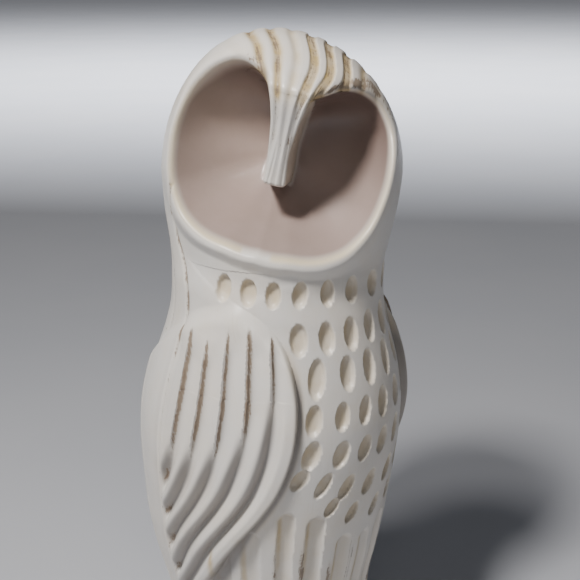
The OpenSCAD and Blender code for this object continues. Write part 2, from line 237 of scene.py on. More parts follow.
def wing_field(a, z, r):
    """Height of the wing above the breast, and masks used for stain, for painted shade and for splitting
    pieces.
    """
    b = np.abs(a)
    k = r * RAD
    d = wing_inside(b, z, k)
    soft = 3.2 + 11.0 * step01(194, 220, z)
    e = np.clip((d + 0.6) / soft, 0, 1)
    e = 1 - (1 - e) ** 2.4
    dt = top_z(b) - z
    t = step01(-1.5, 9, dt)
    high = WING_HEIGHT - 1.6 * step01(98, 108, b) - 1.4 * step01(120, 150, b) - 1.4 * step01(196, 222, z) \
        - 1.0 * step01(90, 50, z)
    h = high * smin(e, t, 0.35)
    # feathers: lines that follow the front edge low down and run straight up at the shoulder
    ref = np.where(z < 182, front_a(z), 41.0 + 0.07 * (z - 182))
    g = (b - ref) / FEATHER_STEP
    kf = np.floor(g)
    x = g - kf
    turn = 149 + 30 * np.exp(-0.9 * np.clip(g - 1, 0, 6))
    low = step01(turn + 15, turn - 13, z)
    # upper part: hollow scoops, each starting under the sharp edge of the one behind it
    t1 = 1 - x
    scoop = np.where(t1 < 0.2, 1 - (1 - t1 / 0.2) ** 2, 1 - np.clip((t1 - 0.2) / 0.8, 0, 1) ** 1.6)
    saw = -SCOOP_DEPTH * scoop
    # lower part: round ribs with a valley on the line
    xr = np.clip(x, 0, 1) ** 0.78               # the side towards the breast is the steep one
    rib = -RIB_DEPTH * (0.5 + 0.5 * np.cos(TAU * xr)) ** 1.15
    first = step01(0.35, 0.75, g)
    tops = 214.0 - 7.0 * np.exp(-((g - 4.0) / 0.9) ** 2) - 4.0 * step01(4.2, 6, g)
    up = 1 - step01(tops - 14, tops, z)
    up_line = 1 - step01(tops - 4, tops + 2, z)
    band = 1 - step01(BORDER_A - 2.5, BORDER_A + 0.5, b)
    inside = step01(0.0, 2.0, d)
    on_line = np.where((g > 0.5), 1.0, 0.0)
    cut = -0.5 * bump(t1 * FEATHER_STEP * k - 0.5, 0.7) * on_line * (1 - low)
    saw_on = np.where(g > 0, 1.0, 0.0) * step01(0.0, 0.9, g)
    h = h + (saw * (1 - low) * saw_on * up + rib * low * first + cut * up_line) * band * inside
    # long line between the feathers and the rear band, and a second one behind it
    bd = (b - BORDER_A) * k
    bl = bump(bd, 0.9) * step01(62, 78, z) * (1 - step01(206, 213, z))
    rl_d = (b - line_a(z)) * k
    rl = bump(rl_d, 0.8) * step01(46, 60, z) * (1 - step01(196, 208, z))
    h = h - 0.9 * bl * (1 - 0.4 * low) - 0.6 * rl
    # back edge of the wing
    back = step01(-1.0, 4.0, (back_a(z) - b) * k)
    tip = step01(36, 56, z)
    h = h * back * tip
    wall = np.where(x > 0.5, t1 * FEATHER_STEP * k, -x * FEATHER_STEP * k) - 0.4
    wide = np.interp(np.round(g), [0, 1, 2, 3, 4, 5, 6], [0.7, 0.75, 1.2, 0.65, 0.75, 0.9, 1.0])
    line = bump(wall, wide) * on_line * up_line * (1 - low * 0.85) * inside * (b < BORDER_A - 1)
    ends = bump(x - np.round(x), 0.13) * bump((b - BORDER_A + 3.0) * k, 3.4) * low * step01(60, 75, z)
    behind = np.maximum(bl * (0.30 + 0.7 * step01(190, 205, z)), 0.5 * rl)
    line = np.maximum(np.maximum(line, 0.95 * ends), behind)
    # painted shade in the hollows: under each sharp feather edge above, in the valleys between the ribs below
    under_edge = 0.62 * np.exp(-np.where(x > 0.1, t1, 0) * FEATHER_STEP * k / 2.6) * (1 - low) * up * saw_on
    valley = 0.75 * (0.5 + 0.5 * np.cos(TAU * (x - 0.09))) ** 1.5 * low * first
    shade = np.maximum(under_edge, valley) * band * inside
    # painted shadow on the breast along the wing's front edge, wider low down
    under = 2.2 + 1.8 * step01(120, 90, z)
    shade = np.maximum(shade, 0.8 * bump(d + under - 1.6, under) * step01(205, 180, z) * step01(46, 60, z))
    return h, line, d, low, shade


def tail_half(z):
    """Half of the tail's width, in degrees."""
    return 25.0 - 10.0 * step01(60, 150, z)


def tail_field(a, z, r):
    b = 180 - np.abs(a)
    k = r * RAD
    half = tail_half(z)
    e = step01(-1, 2.5, (half - b) * k)
    top = step01(152, 132, z + 0.02 * b * b)
    h = TAIL_HEIGHT * e * top * step01(6, 14, z)
    x = np.mod(b / 9.0 + 0.5, 1) - 0.5
    gl = bump(x * 9.0 * k, 1.3) * e * top * step01(8, 20, z) * (b < half - 4)
    mid = bump(b * k, 1.0) * e * top
    return h - 1.0 * gl, np.maximum(gl * 0.8, mid * 0.2)


def neck_lines(a, z, r):
    """The line down the side of the neck, and the fainter ones behind it."""
    behind = np.abs(a) - neck_a(z)
    line = bump(behind * r * RAD, 1.3) * step01(206, 216, z) * (1 - step01(268, 282, z))
    nape = 0
    for off, amp in NAPE:
        nape = nape + (amp * bump((behind - off) * r * RAD, 1.6) * step01(186, 205, z)
                       * (1 - step01(262, 292, z)))
    return line, nape


def relief(a, z, r):
    """Everything that stands off the round section below the head."""
    base = -1.2 * step01(30, 70, z) * (1 - step01(208, 230, z))
    w, wline, d, low, shade = wing_field(a, z, r)
    t, tline = tail_field(a, z, r)
    dm, side = dimple_field(a, z, r)
    fl = flutes(a, z, r) * (1 - step01(-2.0, 1.0, d) * step01(52, 70, z))
    nl, n2 = neck_lines(a, z, r)
    thin = 0
    for c, top in THIN:
        thin = thin + bump((a - c) * r * RAD, 0.55) * step01(0, 6, top - z)
    uneven = 0.28 * waves(a * 0.9, z, 5, 17.0) + 0.12 * waves(a * 0.9, z, 6, 6.5)
    disp = base + w + t - DIMPLE_DEPTH * (0.6 * step01(0, 0.5, dm) + 0.4 * dm) - fl
    disp = disp - 0.9 * nl - 0.5 * n2 - 0.28 * thin + uneven
    return disp, dict(wing=d, line=np.maximum(wline, np.maximum(tline, 0)), dimple=dm, dside=side, neck=nl,
                      low=low, flute=fl, thin=thin, nape=n2, shade=shade)


# ---- head ---------------------------------------------------------------------
def to_face(P):
    dx, dy, dz = P[..., 0] - FACE[0], P[..., 1] - FACE[1], P[..., 2] - FACE[2]
    c, s = math.cos(ROLL), math.sin(ROLL)
    return dx * c - dz * s, dx * s + dz * c, -dy


def face_pt(u, v, w):
    c, s = math.cos(ROLL), math.sin(ROLL)
    return np.stack([FACE[0] + u * c + v * s, FACE[1] - w, FACE[2] - u * s + v * c], -1)


rim_half = lut(RIM + [(180 - a, r) for a, r in RIM[::-1][1:]], -90, 270, 1, 3.0)


def rim_rad(t):
    t = np.asarray(t, float)
    lobe = 2.3 * bump(np.mod(t, 360) - 119, 15.0)      # the lobe on the owl's right reaches a little higher
    s = np.mod(t + 90, 360) - 90
    return rim_half(s) + lobe


def skin_w(u, v):
    p = face_pt(u, v, np.zeros_like(u))
    z = p[..., 2]
    l = lean(z)
    dome = HEAD_R * np.sqrt(np.clip(1 - ((z - BROW_Z) / (CROWN_Z - BROW_Z)) ** 2, 0, 1))
    r = np.where(z > BROW_Z, dome, skin_r(z))
    return FACE[1] - l * TD[1] + np.sqrt(np.clip(r * r - (p[..., 0] - l * TD[0]) ** 2, 0, None))


GRID = 0.5
GN = 281
_g = (np.arange(GN) - GN // 2) * GRID
_U, _V = np.meshgrid(_g, _g, indexing="ij")
_T = np.degrees(np.arctan2(_V, _U))
_R = np.hypot(_U, _V)
_RR = rim_rad(_T)
_ta = np.arange(-180, 181, 1.0)
_tr = rim_rad(_ta)
_tw = skin_w(_tr * np.cos(np.radians(_ta)), _tr * np.sin(np.radians(_ta))) - 0.4
SOFT = np.hanning(15) / np.hanning(15).sum()
_tw = np.convolve(np.concatenate([_tw[-7:-1], _tw, _tw[1:7]]), SOFT[1:-1], "valid")
_W = np.interp(_T, _ta, _tw)
_up = step01(-0.35, 0.65, np.sin(np.radians(_T)))
_Q = _R / _RR
FLOOR = -2.0 + (_W + 2.0) * np.clip(_Q, 0, 1.6) ** (2.15 + 1.75 * _up)


def blur2(A, s):
    k = np.arange(-int(3 * s), int(3 * s) + 1)
    w = np.exp(-0.5 * (k / s) ** 2)
    w /= w.sum()
    for ax in (0, 1):
        A = np.apply_along_axis(lambda m: np.convolve(np.pad(m, len(k) // 2, mode="edge"), w, "valid"), ax, A)
    return A


FLOOR = blur2(FLOOR, 2.0).astype(f32)
_gu, _gv = np.gradient(FLOOR, GRID)
FSLOPE = np.sqrt(1 + _gu ** 2 + _gv ** 2).astype(f32)
QMAP = _Q.astype(f32)


def sample(A, u, v):
    iu = np.clip(u / GRID + GN // 2, 0, GN - 1.001).astype(f32)
    iv = np.clip(v / GRID + GN // 2, 0, GN - 1.001).astype(f32)
    i, j = iu.astype(np.int32), iv.astype(np.int32)
    a, b = iu - i, iv - j
    return (A[i, j] * (1 - a) + A[i + 1, j] * a) * (1 - b) + (A[i, j + 1] * (1 - a) + A[i + 1, j + 1] * a) * b


RIDGE_HW = lut([(-30, 5.3), (-10, 5.2), (-4, 5.2), (5, 5.8), (18, 7.2), (26, 9.0), (31, 10.8), (36, 12.6),
                (42, 15.2), (60, 20)], -40, 60, 0.5, 1.5)
_cv = np.arange(-40, 60, 0.5)
_top = float(skin_w(np.zeros(1), np.full(1, 31.0))[0]) - 0.5
_ct = np.clip((31.0 - _cv) / 42.5, 0, 1)
_cw = np.where(_cv > 31, skin_w(np.zeros_like(_cv), _cv) - 0.5, _top + (31.9 - _top) * _ct ** 0.8)
_cw = _cw + 1.7 * bump(_cv - 30.0, 8.0)           # the ridge rolls over the rim without a step
CREST = lut(list(zip(_cv, _cw)), -40, 59, 0.5, 5.0)
TIP_V = -11.5
# crown grooves: place across the fan, strength
CROWN_S = [(-1.68, 0.2), (-1.14, 0.9), (-0.64, 1), (-0.11, 0.75), (0.41, 1), (0.90, 1), (1.42, 1),
           (1.92, 0.6), (2.4, 0.25)]


def crown_lines(u, v, w):
    """Fan of grooves over the crown that run together down the ridge."""
    back = step01(38, 22, w)
    hw = RIDGE_HW(np.minimum(v, 42)) * (1 - back) + 15.2 * (1 + 0.006 * (31 - w)) * back
    s = u / hw + 0.40 * step01(34, 2, w)
    top = step01(-6, 30, v)
    g = np.zeros(u.shape, f32)
    for c, amp in CROWN_S:
        fade = 1.0 if abs(c) < 1.0 else step01(28, 34, v)
        wid = (1.55 + 0.35 * step01(20, 45, v)) * (0.45 + 0.55 * top)
        x = (s - c) * hw
        if 0.3 < c < 1.6:                       # three wide flat-bottomed grooves
            half = 1.15 + 0.75 * step01(16, 36, v)
            shape = 1 - step01(half - 0.7, half + 0.9, np.abs(x))
        else:
            shape = bump(x, wid)
        g = np.maximum(g, amp * shape * fade)
    g = g * step01(-52, -20, w)
    fine = np.zeros(u.shape, f32)
    for c in (-0.72, -0.36, 0.0, 0.36, 0.72):
        fine = np.maximum(fine, bump((s - c) * hw, 0.5))
    fine = fine * (1 - step01(2, 14, v)) * (np.abs(s) < 1.05)
    return g, fine, top, s


def ridge_parts(u, v, w):
    hw = RIDGE_HW(v) + 0.045 * np.clip(CREST(v) - w, 0, 40)
    shift = 0.3 + 0.8 * step01(-10, 5, v) * step01(40, 30, v)
    au = np.abs(u + shift)
    hw = hw - shift
    crest = CREST(v) - 0.16 * u * u / RIDGE_HW(v)
    g, fine, top, _ = crown_lines(u, v, w)
    crest = crest - (0.45 + 0.75 * top) * g * 0.9 - 0.3 * fine
    side = (au - hw) * 0.98
    front = (w - crest) * 0.97
    end = TIP_V - v - 0.10 * np.clip(CREST(TIP_V) - w, 0, 60)
    f = smax(smax(side, front, 1.6), end, 1.8)
    flank = step01(-1.2, -0.1, side) * step01(0.3, 2.5, -front)
    return f, g, fine, flank, side


def chin(u, v, w):
    """How far the neck is drawn in under the lip of the face."""
    out = 4.6 * (sample(QMAP, u, v) - 1) * 10
    return CHIN_DEPTH * step01(2.5, 9.5, out) * step01(34, 15, out) * step01(-6, -24, v) * step01(14, 32, w)


def head_field(P, want=False):
    """Signed distance, roughly, of the head with its dish and ridge."""
    rho, a, z = body(P)
    u, v, w = to_face(P)
    k0 = np.sqrt((rho / HEAD_R) ** 2 + ((z - BROW_Z) / (CROWN_Z - BROW_Z)) ** 2)
    k1 = np.sqrt((rho / HEAD_R ** 2) ** 2 + ((z - BROW_Z) / (CROWN_Z - BROW_Z) ** 2) ** 2)
    dome = k0 * (k0 - 1) / np.maximum(k1, 1e-6)
    r = skin_r(z)
    wall = (rho - r) / np.sqrt(1 + skin_s(z) ** 2)
    egg = wall + (dome - wall) * step01(BROW_Z - 7, BROW_Z + 7, z)
    g, _, _, s = crown_lines(u, v, w)
    crown = step01(24, 31, v)
    egg = egg + 1.05 * g * crown
    egg = egg - 0.25 * waves(a * 0.9, z, 5, 17.0) * 0.8
    nl, n2 = neck_lines(a, z, r)
    egg = egg + 0.9 * nl + 0.5 * n2 + chin(u, v, w)
    fl = sample(FLOOR, u, v)
    sl = sample(FSLOPE, u, v)
    void = (fl - w) / sl
    void = np.where(w < -6, 8.0, void)
    soft_rim = 3.2 + 3.0 * step01(8, 30, v)
    h = smax(egg, -void, soft_rim)
    rf, g2, fine2, flank, side = ridge_parts(u, v, w)
    low = np.where((v < 46) & (w > -8), rf + 9.0 * step01(32, 46, v), 9.0)
    f = smin(h, low, 2.6)
    if not want:
        return f
    q = sample(QMAP, u, v)
    near = rf < 1.5
    return f, dict(u=u, v=v, w=w, q=q, floor=fl, ridge=rf, crown=g * crown, fine=fine2 * near, rg=g2 * near,
                   neck=nl, nape=n2, a=a, z=z, egg=egg, s=s, flank=flank, side=side)


def trunk_field(P, want=False):
    rho, a, z = body(P)
    r = skin_r(z)
    disp, info = relief(a, z, r)
    f = (rho - r - disp) / np.sqrt(1 + skin_s(z) ** 2)
    f = f + np.where(z > 205, chin(*to_face(P)), 0)
    if not want:
        return f
    info.update(a=a, z=z, r=r, rho=rho)
    return f, info


# ---- pieces as solids: negative inside -----------------------------------------
def sunk(m, depth, width):
    """How far a piece is drawn in, m millimetres inside the outline of the piece that lies on it."""
    return 0.02 * step01(0.25, 0.6, m) + depth * step01(0.6, width, m)


def solid_trunk(P):
    _, a, z = body(P)
    f = trunk_field(P)
    # drawn in under the pieces that lie on it
    r = skin_r(z)
    wing_in = wing_mask(a, z, r)
    f = f + sunk(wing_in, 3.4, 5.0)
    tail_in = tail_mask(a, z, r)
    f = f + sunk(tail_in, 2.6, 4.0)
    f = f + sunk(z - NECK_Z, 3.0, 4.0)
    foot = FELT_T - z
    f = smax(f, foot, 2.2)
    return np.maximum(f, z - (NECK_Z + 5))


def wing_mask(a, z, r):
    """Millimetres inside the wing's outline."""
    b = np.abs(a)
    k = r * RAD
    dt = (top_z(b) - z) * 0.9 + 2.0
    db = (back_a(z) - b) * k + 1.0
    return np.minimum(np.minimum(wing_inside(b, z, k) + 1.4, dt), np.minimum(db, z - 38.0))


def tail_mask(a, z, r):
    b = 180 - np.abs(a)
    k = r * RAD
    return np.minimum((tail_half(z) - b) * k + 1.6, np.minimum(154 - 0.02 * b * b - z, z - 6.0))


def solid_wing(side):
    def f(P):
        rho, a, z = body(P)
        r = skin_r(z)
        g = trunk_field(P)
        m = np.where(a * side > 0, wing_mask(a, z, r), -9.0)
        inner = (r - 3.6) - rho
        return np.maximum(np.maximum(g, -m), inner)
    return f


def solid_tail(P):
    rho, a, z = body(P)
    r = skin_r(z)
    return np.maximum(np.maximum(trunk_field(P), -tail_mask(a, z, r)), (r - 3.4) - rho)


def dish_mask(info):
    """Millimetres inside the dish piece: a skin under the hollow."""
    return np.minimum((0.985 - info["q"]) * 48.0, 40.0)


def ridge_mask(info):
    return np.minimum(1.6 - info["ridge"], 30.0 - info["v"])


def solid_head(P):
    f, i = head_field(P, True)
    dm = dish_mask(i)
    near = (i["w"] < i["floor"] + 6) & (i["w"] > i["floor"] - 4.5)
    f = f + np.where(near, sunk(dm, 4.2, 5.0), 0)
    rm = ridge_mask(i)
    f = f + sunk(rm, 4.0, 5.0) * step01(-3.0, 0.0, i["w"] - i["floor"])
    return np.maximum(f, NECK_Z - i["z"])


def solid_dish(P):
    f, i = head_field(P, True)
    m = -dish_mask(i)
    back = (i["floor"] - 3.6 - i["w"]) / 1.4
    rm = ridge_mask(i)
    f = f + sunk(rm, 4.0, 4.0) * step01(0.0, 2.5, i["w"] - i["floor"])
    f = np.maximum(f, i["w"] - i["floor"] - np.where(rm > 0, 1.0, 9.0))
    return np.maximum(np.maximum(f, m), back)


def solid_ridge(P):
    f, i = head_field(P, True)
    back = i["floor"] - 0.2 - i["w"]
    return np.maximum(np.maximum(f, -ridge_mask(i)), back)


# ---- surface extraction ----------------------------------------------------------
def differences(field, pts, e):
    """Change of the field over e millimetres to each side of each point, along x, y and z."""
    return np.stack([field((pts + d).astype(f32)) - field((pts - d).astype(f32)) for d in np.eye(3) * e], -1)


FAR = 9.0                          # stands for "well away from the surface"


def surface(field, lo, hi, h):
    """Surface nets over the blocks that the surface passes through, then moved onto the surface."""
    lo = np.array(lo, float)
    hi = np.array(hi, float)
    B = 8
    nb = np.ceil((hi - lo) / (h * B)).astype(int) + 1
    cs = h * B
    gx, gy, gz = [lo[i] + (np.arange(nb[i]) + 0.5) * cs for i in range(3)]
    C = np.stack(np.meshgrid(gx, gy, gz, indexing="ij"), -1).astype(f32)
    cf = field(C)
    near = np.abs(cf) < cs * 0.87 * 1.6 + 2.5
    keep = np.argwhere(near)
    off = np.stack(np.meshgrid(*[np.arange(B + 1)] * 3, indexing="ij"), -1)
    dense = np.full(tuple(nb * B + 1), FAR, f32)
    chunk = 220
    for s in range(0, len(keep), chunk):
        kb = keep[s:s + chunk]
        idx = kb[:, None, None, None, :] * B + off[None]
        P = (lo + idx * h).astype(f32)
        F = field(P)
        dense[idx[..., 0], idx[..., 1], idx[..., 2]] = F
    # fill the inside of blocks that were skipped with their own sign
    for b in np.argwhere((cf < 0) & ~near):
        block = tuple(slice(c * B, c * B + B + 1) for c in b)
        dense[block] = np.minimum(dense[block], np.where(dense[block] == FAR, -FAR, FAR))
    D = dense
    inside = D < 0
    # cells with a sign change
    c = inside[:-1, :-1, :-1].astype(np.int8)
    tot = c.copy()
    for dx, dy, dz in ((1, 0, 0), (0, 1, 0), (0, 0, 1), (1, 1, 0), (1, 0, 1), (0, 1, 1), (1, 1, 1)):
        tot += inside[dx:D.shape[0] - 1 + dx, dy:D.shape[1] - 1 + dy, dz:D.shape[2] - 1 + dz]
    active = np.argwhere((tot > 0) & (tot < 8))
    ids = np.full(tot.shape, -1, np.int32)
    ids[active[:, 0], active[:, 1], active[:, 2]] = np.arange(len(active))
    acc = np.zeros((len(active), 3), np.float64)
    cnt = np.zeros(len(active))
    i0, j0, k0 = active.T
    for ax in range(3):
        for p in (0, 1):
            for q in (0, 1):
                o = [0, 0, 0]
                o[(ax + 1) % 3] = p
                o[(ax + 2) % 3] = q
                e = list(o)
                e[ax] = 1
                A = D[i0 + o[0], j0 + o[1], k0 + o[2]]
                E = D[i0 + e[0], j0 + e[1], k0 + e[2]]
                m = (A < 0) != (E < 0)
                t = A[m] / (A[m] - E[m])
                pt = np.array(o, float)[None] + np.zeros((m.sum(), 3))
                pt[:, ax] += t
                acc[m] += pt
                cnt[m] += 1
    pts = lo + (active + acc / cnt[:, None]) * h
    # quads across each crossed edge
    quads = []
    for ax in range(3):
        sl0 = [slice(None)] * 3
        sl1 = [slice(None)] * 3
        sl0[ax] = slice(0, -1)
        sl1[ax] = slice(1, None)
        A = inside[tuple(sl0)]
        E = inside[tuple(sl1)]
        e = np.argwhere(A != E)
        b1, b2 = (ax + 1) % 3, (ax + 2) % 3
        ok = (e[:, b1] > 0) & (e[:, b2] > 0) & (e[:, b1] < D.shape[b1] - 1) & (e[:, b2] < D.shape[b2] - 1)
        e = e[ok]
        start = A[e[:, 0], e[:, 1], e[:, 2]]
        d1 = np.zeros(3, int)
        d1[b1] = 1
        d2 = np.zeros(3, int)
        d2[b2] = 1
        c00 = e - d1 - d2
        c10 = e - d2
        c11 = e
        c01 = e - d1
        q = np.stack([ids[tuple(x.T)] for x in (c00, c10, c11, c01)], 1)
        q[~start] = q[~start][:, ::-1]
        quads.append(q)
    quads = np.concatenate(quads)
    # move the vertices onto the surface
    for _ in range(3):
        f0 = field(pts.astype(f32)).astype(float)
        e = 0.12
        G = (differences(field, pts, e) / (2 * e)).astype(float)
        g2 = np.maximum((G ** 2).sum(-1), 0.15)
        stepv = -(f0 / g2)[:, None] * G
        ln = np.linalg.norm(stepv, axis=1, keepdims=True)
        stepv *= np.minimum(1, 0.45 * h / np.maximum(ln, 1e-9))
        pts = pts + stepv * 0.85
    return pts, quads


def put_mesh(name, pts, quads, attrs, normals, on_skin, node, mat):
    me = bpy.data.meshes.new(name)
    me.vertices.add(len(pts))
    me.vertices.foreach_set("co", (pts * 0.001).astype(f32).ravel())
    me.loops.add(quads.size)
    me.loops.foreach_set("vertex_index", quads.astype(np.int32).ravel())
    me.polygons.add(len(quads))
    me.polygons.foreach_set("loop_start", np.arange(0, quads.size, 4, dtype=np.int32))
    me.polygons.foreach_set("loop_total", np.full(len(quads), 4, np.int32))
    me.polygons.foreach_set("use_smooth", np.ones(len(quads), bool))
    me.update(calc_edges=True)
    me.validate()
    if len(me.vertices) == len(pts):
        own = np.zeros(len(pts) * 3, f32)
        me.vertices.foreach_get("normal", own)
        own = own.reshape(-1, 3)
        use = on_skin & ((own * normals).sum(-1) > 0.2)
        me.normals_split_custom_set_from_vertices(np.where(use[:, None], normals, own).tolist())
    for key, val in attrs.items():
        if val.ndim == 1:
            at = me.attributes.new(key, "FLOAT", "POINT")
            at.data.foreach_set("value", val.astype(f32))
        else:
            at = me.attributes.new(key, "FLOAT_VECTOR", "POINT")
            at.data.foreach_set("vector", val.astype(f32).ravel())
    ob = bpy.data.objects.new(name, me)
    bpy.context.collection.objects.link(ob)
    me.materials.append(mat)
    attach(ob, "root")
    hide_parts(node)
    return ob


# ---- materials -------------------------------------------------------------------
class Nodes:
    """Short names for building a material's node tree."""

    def __init__(self, name):
        self.mat = bpy.data.materials.new(name)
        self.mat.use_nodes = True
        self.nt = self.mat.node_tree
        self.nt.nodes.clear()
        self.out = self.nt.nodes.new("ShaderNodeOutputMaterial")
        self.bsdf = self.nt.nodes.new("ShaderNodeBsdfPrincipled")
        self.nt.links.new(self.bsdf.outputs[0], self.out.inputs[0])

    def link(self, a, b):
        if isinstance(a, (int, float)):
            b.default_value = a
        elif isinstance(a, tuple):
            b.default_value = a if len(a) == 4 or b.type == "VECTOR" else a + (1.0,)
        else:
            self.nt.links.new(a, b)

    def attr(self, name, vec=False):
        n = self.nt.nodes.new("ShaderNodeAttribute")
        n.attribute_name = name
        return n.outputs["Vector" if vec else "Fac"]

    def math(self, op, a, b=None, c=None, clamp=False):
        n = self.nt.nodes.new("ShaderNodeMath")
        n.operation = op
        n.use_clamp = clamp
        for i, v in enumerate((a, b, c)):
            if v is not None:
                self.link(v, n.inputs[i])
        return n.outputs[0]

    def mul(self, a, b):
        return self.math("MULTIPLY", a, b)

    def coords(self):
        return self.nt.nodes.new("ShaderNodeTexCoord").outputs["Object"]

    def mapped(self, vec, scale, loc=(0, 0, 0)):
        n = self.nt.nodes.new("ShaderNodeMapping")
        self.link(vec, n.inputs["Vector"])
        n.inputs["Scale"].default_value = scale
        n.inputs["Location"].default_value = loc
        return n.outputs[0]

    def noise(self, vec, scale, detail=3.0, rough=0.55):
        n = self.nt.nodes.new("ShaderNodeTexNoise")
        self.link(vec, n.inputs["Vector"])
        n.inputs["Scale"].default_value = scale
        n.inputs["Detail"].default_value = detail
        n.inputs["Roughness"].default_value = rough
        return n.outputs["Fac"]

    def voronoi(self, vec, scale):
        n = self.nt.nodes.new("ShaderNodeTexVoronoi")
        self.link(vec, n.inputs["Vector"])
        n.inputs["Scale"].default_value = scale
        return n.outputs["Distance"]

    def ramp(self, fac, lo, hi, a=0.0, b=1.0):
        n = self.nt.nodes.new("ShaderNodeMapRange")
        n.interpolation_type = "SMOOTHSTEP"
        self.link(fac, n.inputs[0])
        for i, v in enumerate((lo, hi, a, b)):
            n.inputs[i + 1].default_value = v
        return n.outputs[0]

    def mix(self, fac, a, b, mode="MIX"):
        n = self.nt.nodes.new("ShaderNodeMix")
        n.data_type = "RGBA"
        n.blend_type = mode
        self.link(fac, n.inputs[0])
        self.link(a, n.inputs[6])
        self.link(b, n.inputs[7])
        return n.outputs[2]

    def bump(self, height, strength, dist, normal=None):
        n = self.nt.nodes.new("ShaderNodeBump")
        n.inputs["Strength"].default_value = strength
        n.inputs["Distance"].default_value = dist
        self.link(height, n.inputs["Height"])
        if normal is not None:
            self.link(normal, n.inputs["Normal"])
        return n.outputs[0]


# glaze colours, linear
IVORY = (0.785, 0.732, 0.655)
IVORY_COOL = (0.745, 0.715, 0.670)
CREAM_AND_FLANK_SHADE = (0.745, 0.610, 0.380)
WASH_AND_SHADE = (0.520, 0.360, 0.110)
STAIN = (0.120, 0.068, 0.034)
TAUPE = (0.335, 0.250, 0.215)
TAUPE_SHADOW_AIRBRUSH = (0.085, 0.050, 0.040)


def glaze(name):
    """Ivory satin glaze with a rubbed brown stain in its grooves, painted shade and shadow in its hollows,
    and the taupe dish colour where masked.
    """
    n = Nodes(name)
    co = n.coords()
    flow = n.attr("flow", True)
    keys = ("stain", "wash_and_shade", "dish", "cream_and_flank_shade", "painted_occlusion", "dish_airbrush_and_shadow")
    stain_a, wash_shade_a, dish_a, cream_shade_a, occlusion_shade_a, dish_shadow_a = [n.attr(k) for k in keys]
    cloud = n.noise(co, 22.0, 3.0)
    fine = n.noise(co, 260.0, 4.0)
    base = n.mix(n.ramp(cloud, 0.35, 0.68), IVORY, IVORY_COOL)
    base = n.mix(n.mul(n.ramp(n.noise(co, 75.0, 4.0, 0.6), 0.45, 0.75), 0.22), base, (0.70, 0.60, 0.45))
    # faint brushed film of stain that runs with the relief
    film = n.noise(n.mapped(flow, (0.9, 0.045, 1.0)), 1.0, 5.0, 0.62)
    base = n.mix(n.mul(n.ramp(film, 0.52, 0.80), 0.16), base, (0.56, 0.45, 0.31))
    # warm wash settled in the hollows, with painted shade on the dimples' upper left sides and painted shadow
    # in front of the wing's edge
    blot = n.ramp(n.noise(co, 130.0, 3.0), 0.30, 0.70, 0.62, 1.0)
    base = n.mix(n.math("MULTIPLY", wash_shade_a, blot, clamp=True), base, WASH_AND_SHADE)
    # painted shade: grey darkening in the hollows and under the feather edges, standing in for occlusion
    base = n.mix(n.mul(n.ramp(occlusion_shade_a, 0.04, 0.66), 0.80), base, (0.245, 0.225, 0.215))
    # dry-brushed stain: streaks along the groove, broken up where the brush skipped
    streak = n.noise(n.mapped(flow, (1.5, 0.07, 1.0)), 1.0, 6.0, 0.68)
    skip = n.noise(n.mapped(flow, (0.25, 0.10, 1.0), (3.1, 7.7, 0)), 1.0, 2.0)
    hatch = n.noise(n.mapped(flow, (0.55, 0.75, 1.0), (9.0, 2.0, 0)), 1.0, 3.0)
    edge = n.math("ADD", n.math("MULTIPLY_ADD", streak, 2.6, -1.30), n.math("MULTIPLY_ADD", skip, 1.6, -0.80))
    edge = n.math("ADD", edge, n.math("MULTIPLY_ADD", hatch, 1.0, -0.52))
    mark = n.ramp(n.math("ADD", stain_a, n.mul(edge, n.ramp(stain_a, 0.02, 0.35))), 0.40, 0.80)
    tone = n.mix(n.ramp(n.noise(co, 190.0, 3.0), 0.35, 0.7), STAIN, (0.215, 0.150, 0.098))
    base = n.mix(n.mul(mark, 0.86), base, tone)
    base = n.mix(n.mul(n.ramp(stain_a, 0.05, 0.75), 0.30), base, (0.40, 0.32, 0.23))
    # dish
    dcloud = n.mix(n.ramp(n.noise(co, 32.0, 4.0), 0.3, 0.72), TAUPE, (0.370, 0.282, 0.248))
    dcloud = n.mix(n.mul(n.ramp(n.noise(co, 210.0, 5.0, 0.7), 0.5, 0.8), 0.25), dcloud, (0.32, 0.235, 0.195))
    # darker airbrushed taupe high in the lobes, deepened there as painted shade under the brow, and painted
    # shadow of the ridge over the right lobe
    dcloud = n.mix(n.mul(dish_shadow_a, 0.8), dcloud, TAUPE_SHADOW_AIRBRUSH)
    # cream tint on the rim's inner edge, and painted shade on the ridge's flank
    base = n.mix(n.mul(cream_shade_a, 0.75), base, CREAM_AND_FLANK_SHADE)
    base = n.mix(dish_a, base, dcloud)
    n.link(base, n.bsdf.inputs["Base Color"])
    rough = n.math("ADD", n.ramp(cloud, 0.3, 0.7, 0.37, 0.47), n.mul(mark, 0.16))
    rough = n.math("ADD", rough, n.ramp(fine, 0.35, 0.7, -0.03, 0.04))
    n.link(rough, n.bsdf.inputs["Roughness"])
    n.bsdf.inputs["Coat Weight"].default_value = 0.22
    n.bsdf.inputs["Coat Roughness"].default_value = 0.26
    n.bsdf.inputs["IOR"].default_value = 1.5
    b = n.bump(n.noise(co, 420.0, 3.0), 0.25, 0.00012)
    b = n.bump(n.noise(co, 60.0, 2.0), 0.35, 0.0004, b)
    b = n.bump(n.math("SUBTRACT", n.mul(streak, 0.6), n.mul(mark, 0.8)), 0.35, 0.00030, b)
    pits = n.ramp(n.voronoi(co, 95.0), 0.0, 0.045, 0.0, 1.0)
    b = n.bump(pits, 0.5, 0.0003, b)
    n.link(b, n.bsdf.inputs["Normal"])
    return n.mat


